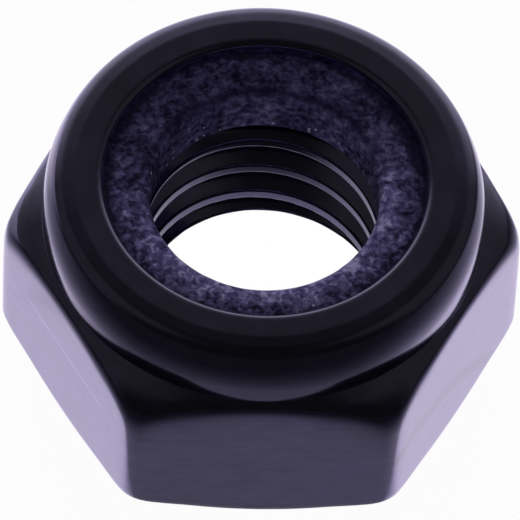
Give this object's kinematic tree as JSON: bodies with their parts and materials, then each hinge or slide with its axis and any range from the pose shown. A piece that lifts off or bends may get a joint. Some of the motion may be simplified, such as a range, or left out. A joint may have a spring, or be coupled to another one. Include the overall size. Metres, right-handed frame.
{
  "type": "insert lock nut",
  "caption": "Hexagon lock nut with a rolled collar that holds a plastic locking ring above a through thread.",
  "frame": {"origin": "centre of the bearing face, on the thread's axis", "axes": "+Z along the thread's axis towards the collar, +X through a corner of the hexagon"},
  "size_m": [0.0114, 0.01, 0.006],
  "materials": {
    "coated_steel": "glossy black coated steel with a faint violet cast",
    "nylon": "mottled indigo nylon"
  },
  "bodies": {
    "root": {"nut_body": "coated_steel", "locking_ring": "nylon"}
  },
  "joints": []
}
